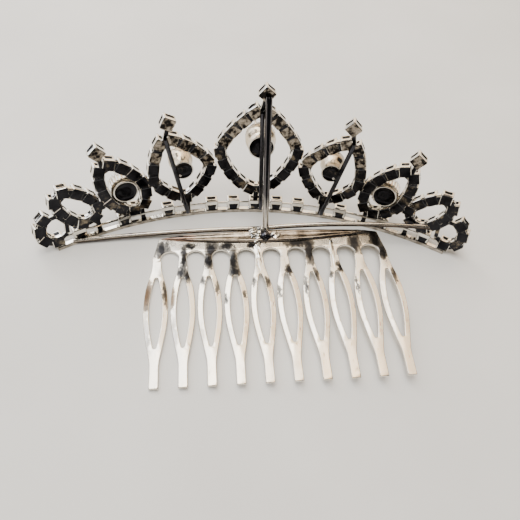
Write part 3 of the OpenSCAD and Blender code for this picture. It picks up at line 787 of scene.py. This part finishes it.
for settingName, side in withPairs("second", "third"):
    settingPiece(settingName, side)
stonePiece("loop_stones", loopStones)
stonePiece("base_stones", baseStones)
print("settings and stones made")

# Wires behind the crown. A bar's ends and the brace's top are thinner, by these shares of their thickness
wires = {"barDiameter": 1.05, "barEnd": 0.8, "braceDiameter": 1.5, "braceEnd": 0.85, "chordDiameter": 1.1,
         "sink": 0.2}
# out and up of a bar's two ends, as shares of reach and height
barEnds = {"centre": ((0, 1.27), (0.03, 0.05)), "second": ((0.055, 1.02), (-0.026, 0.05))}


def barPiece(name, side):
    shape = newShape()
    r = wires["barDiameter"] / 2
    top, foot = (Vector((out * crown["reach"], up * crown["loopHeight"], -r + wires["sink"] / 2))
                 for out, up in barEnds[name])
    count = 24
    path = [top.lerp(foot, i / count) for i in range(count + 1)]
    radii = [r * wires["barEnd"]] + [r] * (count - 1) + [r * wires["barEnd"]]
    put(shape, tube(path, radii, finish=drawn), onCrown(placeOf(name), side))
    metalPiece(sided(name, "bar", side), shape, crease=50)


for barName, side in withPairs("second"):
    barPiece(barName, side)

# The comb, in its own frame: X along the plate, Y up from the keyholes' tops, Z out of the sheet. The slots'
# places are shares of the teeth's length
comb = {"teeth": 10, "pitch": 5.75, "length": 33, "tipWidth": 1.85, "toothWidth": 5.2, "slotWidth": 2.9,
        "keyhole": 4.15, "plate": 5.2, "bow": 1.6, "sheet": 0.7, "roundness": 0.14, "ridgeHeight": 0.6,
        "ridgeWidth": 3.8, "ridgeReach": 0.985, "ridgeInset": 0.05, "ridgeRun": 1.2, "ridgeEnd": -0.3,
        "shift": 3.15, "setback": 12.4, "turn": 1.7, "roll": 2.3, "slotTop": 0.214, "slotEnd": 0.738,
        "slotRound": 0.42, "slotFull": 0.9}
# how wide a tooth is from root to tip: share of its length, and share of the way from tip width to full width
toothRows = [(0, 0), (0.08, 0.03), (0.16, 0.12), (0.3, 0.78), (0.45, 1), (0.57, 0.9), (0.7, 0.5), (0.8, 0.12),
             (0.84, 0), (1, 0)]
firstTooth = -(comb["teeth"] - 1) / 2 * comb["pitch"]
combHalf = (comb["pitch"] * (comb["teeth"] - 1) + comb["toothWidth"]) / 2
combLift = combHalf * math.sin(math.radians(comb["roll"]))
combFrame = (Matrix.Translation((comb["shift"], -comb["setback"] + railMiddle, combLift))
             @ Matrix.Rotation(math.radians(-comb["roll"]), 4, "Y")
             @ Matrix.Rotation(math.radians(comb["turn"]), 4, "Z"))


def toothHalf(v):
    k = max(i for i in range(len(toothRows) - 1) if toothRows[i][0] <= v)
    (a, p), (b, q) = toothRows[k], toothRows[k + 1]
    before, after = toothRows[max(k - 1, 0)], toothRows[min(k + 2, len(toothRows) - 1)]
    u = (v - a) / (b - a)
    # a cubic whose slope at each row follows the rows on both sides of it
    rise = (q - before[1]) / (b - before[0]) * (b - a)
    fall = (after[1] - p) / (after[0] - a) * (b - a)
    share = p + (q - p) * u * u * (3 - 2 * u) + u * (1 - u) * (rise * (1 - u) - fall * u)
    return (comb["tipWidth"] + (comb["toothWidth"] - comb["tipWidth"]) * share) / 2


def plateEdge(u, height, bow):
    return Vector((u * (comb["ridgeEnd"] - firstTooth), height + bow * u * u))


def combOutline():
    # down and up each tooth from the left, round each keyhole, and back along the plate's edge
    r, length = comb["keyhole"] / 2, comb["length"]
    steps, turns, edgeSteps = 30, 28, 24
    # a keyhole's circle meets the teeth at this share of their length
    meets = next(v for v in [k / 200 for k in range(1, 200)]
                 if v * length > r and math.hypot(comb["pitch"] / 2 - toothHalf(v), v * length - r) > r)
    outline = []
    for i in range(comb["teeth"]):
        x = firstTooth + i * comb["pitch"]
        for side, last in ((-1, 0), (1, comb["teeth"] - 1)):
            start = r / length if i == last else meets
            shares = [start + (1 - start) * k / steps for k in range(steps + 1)]
            outline += [(x + side * toothHalf(v), -v * length) for v in shares[::-side]]
        if i < comb["teeth"] - 1:
            middle = Vector((x + comb["pitch"] / 2, -r))
            a = math.atan2(-meets * length - middle.y, x + toothHalf(meets) - middle.x)
            sweep = -2 * (1.5 * math.pi + a)
            angles = [a + sweep * k / turns for k in range(1, turns)]
            outline += [(middle.x + r * math.cos(w), middle.y + r * math.sin(w)) for w in angles]
    edge = [plateEdge(1 - 2 * k / edgeSteps, comb["plate"], -comb["bow"]) for k in range(edgeSteps + 1)]
    return outline + [(p.x, p.y) for p in edge]


def slotOutline(x):
    # a narrow leaf between two round ends
    count, caps = 20, 8
    r = comb["slotRound"]
    top, end = comb["slotTop"] * comb["length"] + r, comb["slotEnd"] * comb["length"] - r
    rows = []
    for side in (-1, 1):
        for i in range(count + 1):
            u = i / count if side < 0 else 1 - i / count
            half = r + (comb["slotWidth"] / 2 - r) * math.sin(math.pi * u) ** comb["slotFull"]
            rows.append((x + side * half, -(top + (end - top) * u)))
        for k in range(1, caps):
            a = math.pi * k / caps
            rows.append((x + side * r * math.cos(a), -(end if side < 0 else top) + side * r * math.sin(a)))
    return rows


def curveSheet(name, outlines, thickness, roundness):
    curve = bpy.data.curves.new(name, "CURVE")
    curve.dimensions = "2D"
    curve.fill_mode = "BOTH"
    curve.extrude = (thickness / 2 - roundness) * mm
    curve.bevel_depth = roundness * mm
    curve.bevel_resolution = 2
    curve.offset = -roundness * mm
    for outline in outlines:
        line = curve.splines.new("POLY")
        line.points.add(len(outline) - 1)
        for point, (x, y) in zip(line.points, outline):
            point.co = (x * mm, y * mm, 0, 1)
        line.use_cyclic_u = True
    holder = newObject(name, curve)
    bpy.context.view_layer.update()
    mesh = bpy.data.meshes.new_from_object(holder.evaluated_get(bpy.context.evaluated_depsgraph_get()))
    bpy.data.objects.remove(holder)
    return mesh


def combPiece():
    slots = [slotOutline(firstTooth + i * comb["pitch"]) for i in range(comb["teeth"])]
    mesh = curveSheet("comb", [combOutline()] + slots, comb["sheet"], comb["roundness"])
    mesh.name = "comb"
    tidy = bmesh.new()
    tidy.from_mesh(mesh)
    bmesh.ops.remove_doubles(tidy, verts=tidy.verts, dist=0.004 * mm)
    bmesh.ops.translate(tidy, verts=tidy.verts, vec=(0, 0, comb["sheet"] / 2 * mm))
    tidy.to_mesh(mesh)
    tidy.free()
    mesh.materials.clear()
    mesh.materials.append(combPlating)
    mesh.shade_smooth()
    mesh.set_sharp_from_angle(angle=math.radians(40))
    piece = newObject("comb", mesh)
    piece.matrix_world = Matrix.Translation(combFrame.translation * mm) @ combFrame.to_3x3().to_4x4()
    # the flat faces shade flat up to their rounded edges
    piece.modifiers.new("flat faces", "WEIGHTED_NORMAL").keep_sharp = True
    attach(piece, "root")
    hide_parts("crown_metal")


def ridgePiece():
    # a pressed bead along the plate: two rounded lips with a shallow channel between
    shape = newShape()
    steps = 60
    # share of the way across the bead, and of its height
    half = [(0, -0.1), (0.03, 0.5), (0.1, 0.85), (0.17, 1), (0.26, 0.92), (0.36, 0.62)]
    section = half + [(1 - across, height) for across, height in reversed(half)]
    n = len(section)
    points = []
    for i in range(steps + 1):
        u = comb["ridgeReach"] * (2 * i / steps - 1)
        top = plateEdge(u, comb["plate"], -comb["bow"])
        low = plateEdge(u, comb["plate"] - comb["ridgeWidth"], comb["ridgeWidth"] - comb["bow"])
        rise = min(1, (top.y - low.y) / comb["ridgeRun"])
        for across, height in section:
            p = top.lerp(low, comb["ridgeInset"] + (1 - comb["ridgeInset"]) * across)
            points.append((p.x, p.y, comb["sheet"] + comb["ridgeHeight"] * height * rise))
    faces = ringFaces(steps + 1, n) + [list(range(n)), [steps * n + k for k in range(n)]]
    put(shape, (points, faces, [0] * len(faces)), combFrame)
    makePiece("comb_ridge", shape, [ridgePlating], ["crown_metal"], crease=60)


combPiece()
ridgePiece()
print("comb made")


# how far the brace's ends stand out from the middle
brace = {"topOut": 0.3, "footOut": -0.9}
# the long wire's ends as shares of the reach, their heights, how far each half bows, and the right one's roll
chord = {"middleOut": -2.5, "left": 0.92, "leftUp": 0.7, "right": 0.885, "rightUp": 5.5, "leftBow": 0.6,
         "rightBow": 0.9, "rightRoll": 37}


def bowedPath(a, b, bow, roll, count=40):
    run = b - a
    half = run.length / 2
    r = (half * half + bow * bow) / (2 * bow)
    spread = math.asin(half / r)
    along = run.normalized()
    level = Vector((-along.y, along.x, 0)).normalized()
    side = level * math.cos(math.radians(roll)) + along.cross(level) * math.sin(math.radians(roll))
    path = []
    for i in range(count + 1):
        w = spread * (2 * i / count - 1)
        path.append((a + b) / 2 + along * r * math.sin(w) + side * (bow - r + r * math.cos(w)))
    return path


def bracePiece():
    shape = newShape()
    r = wires["braceDiameter"] / 2
    out, up = tipPlaces["centre"][:2]
    top = onCrown(0) @ Vector((out * crown["reach"] + brace["topOut"], up * crown["loopHeight"],
                               -r + 2 * wires["sink"]))
    foot = combFrame @ Vector((brace["footOut"], comb["plate"] - r, comb["sheet"] + comb["ridgeHeight"] / 2))
    count = 40
    path = [top.lerp(foot, i / count) for i in range(count + 1)]
    put(shape, tube(path, [r * wires["braceEnd"]] + [r] * count, 28, braceShade))
    metalPiece("brace", shape, crease=50)


def chordPiece():
    shape = newShape()
    r = wires["chordDiameter"] / 2
    middle = combFrame @ Vector((chord["middleOut"], comb["plate"] + r - wires["sink"],
                                 comb["sheet"] / 2 + r))
    left = onCrown(-chord["left"] * crown["reach"]) @ Vector((0, chord["leftUp"], wires["sink"]))
    right = onCrown(chord["right"] * crown["reach"]) @ Vector((0, chord["rightUp"], wires["sink"]))
    path = bowedPath(left, middle, chord["leftBow"], 0)
    path += bowedPath(middle, right, chord["rightBow"], chord["rightRoll"])[1:]
    put(shape, tube(path, [r] * len(path), finish=creamUnderShaded))
    metalPiece("long_wire", shape, crease=50)


# lumps of solder on the comb: place, half sizes, unevenness, seed and 1 where the lump is bright
solderLumps = [
    ((-1.0, 2.8, 1.2), (1.3, 1.15, 1.25), 0.2, 1.0, 0), ((-3.1, 4.0, 1.0), (1.7, 1.3, 0.8), 0.7, 2.0, 1),
    ((-3.0, 2.4, 0.8), (1.4, 1.2, 0.5), 0.8, 3.0, 1), ((1.1, 3.3, 0.9), (1.3, 1.3, 0.6), 0.6, 4.0, 1),
    ((-2.9, 0.4, 0.66), (0.8, 2.0, 0.2), 0.6, 5.0, 1), ((-2.0, 4.9, 1.3), (1.0, 0.8, 0.9), 0.5, 6.0, 1),
    ((-2.95, -3.2, 0.66), (0.5, 2.4, 0.16), 0.8, 8.0, 1), ((14.2, -1.2, 0.66), (0.5, 4.6, 0.16), 0.6, 9.0, 1),
]


def solderPiece():
    shape = newShape()
    for row in solderLumps:
        put(shape, lump(*row), combFrame)
    makePiece("solder", shape, [solderMetal, brightPlating], ["crown_metal"], crease=60)


bracePiece()
chordPiece()
solderPiece()
print("wires and solder made")

# Floor, lights and camera: the floor's side in metres, the camera's place in mm, its view and up directions
stage = {"floor": 2.4, "cameraPlace": (-11.75, -73.64, 108.05), "cameraView": (0.0936, 0.5763, -0.8119),
         "cameraUp": (-0.0074, 0.8158, 0.5783), "lens": 40.0, "sensor": 36.0}


def makeFloor():
    # painted board, matt and nearly white
    made, add, place = startMaterial("pale painted board")
    grain = add("TexNoise", {"Vector": place, "Scale": 1 / (40 * mm), "Detail": 3.0})
    tone = add("ValToRGB", {"Fac": grain}, [(0.3, colour("#D3D1CD")), (0.7, colour("#DCDAD6"))])
    endMaterial(made, add, {"Roughness": 0.7, "Base Color": tone})
    half = stage["floor"] / 2
    mesh = bpy.data.meshes.new("floor")
    corners = [(x * half, y * half, 0) for x, y in ((-1, -1), (1, -1), (1, 1), (-1, 1))]
    mesh.from_pydata(corners, [], [[0, 1, 2, 3]])
    mesh.materials.append(made)
    floor = newObject("floor", mesh)


# place and size in mm, brightness and colour of each soft panel, which faces the origin
panels = {
    "panelBehind": ((50, 210, 380), (160, 380), 2.6, "#FFEBD0"),
    "panelBehindLeft": ((-110, 205, 365), (160, 380), 5.6, "#FFFCF6"),
    "panelBehindRight": ((205, 200, 360), (150, 380), 2.2, "#FFE4C2"),
    "panelBackLeft": ((-320, 310, 210), (330, 430), 3.4, "#FAFBFF"),
    "panelBackRight": ((330, 330, 120), (260, 200), 1.8, "#FFE6C8"),
    "panelLow": ((20, 430, 130), (400, 200), 2.4, "#FFEBD0"),
    "panelLeft": ((-380, 40, 250), (200, 260), 3.0, "#F6F8FF"),
    "panelFront": ((-60, -330, 260), (300, 120), 1.0, "#FFF4E6"),
}
# the fill lights the board from above without a reflection of its own: place, size, watts and colour
fill = ((-60, -60, 520), (420, 420), 3.4, "#FFFDF8")


def areaLight(name, place, size, watts, shade):
    light = bpy.data.lights.new(name, "AREA")
    light.shape = "RECTANGLE"
    light.size, light.size_y = size[0] * mm, size[1] * mm
    light.energy = watts
    light.color = colour(shade)[:3]
    holder = newObject(name, light)
    holder.location = Vector(place) * mm
    holder.rotation_mode = "QUATERNION"
    holder.rotation_quaternion = (-Vector(place)).to_track_quat("-Z", "Y")
    return holder


def makeLights():
    for name, (place, size, glow, shade) in panels.items():
        areaLight(name, place, size, glow * math.pi * size[0] * size[1] * mm * mm, shade)
    areaLight("fill", *fill).visible_glossy = False
    world = bpy.data.worlds.new("dim room")
    world.use_nodes = True
    sockets = world.node_tree.nodes["Background"].inputs
    sockets["Color"].default_value = colour("#5A5C60")
    sockets["Strength"].default_value = 0.5
    bpy.context.scene.world = world


def makeCamera():
    data = bpy.data.cameras.new("camera")
    data.lens = stage["lens"]
    data.sensor_width = stage["sensor"]
    data.clip_start = 0.005
    camera = newObject("camera", data)
    forward = Vector(stage["cameraView"]).normalized()
    right = forward.cross(Vector(stage["cameraUp"])).normalized()
    up = right.cross(forward)
    rows = [(right[i], up[i], -forward[i], stage["cameraPlace"][i] * mm) for i in range(3)] + [(0, 0, 0, 1)]
    camera.matrix_world = Matrix(rows)
    bpy.context.scene.camera = camera


makeFloor()
makeLights()
makeCamera()
print("floor, lights and camera made")
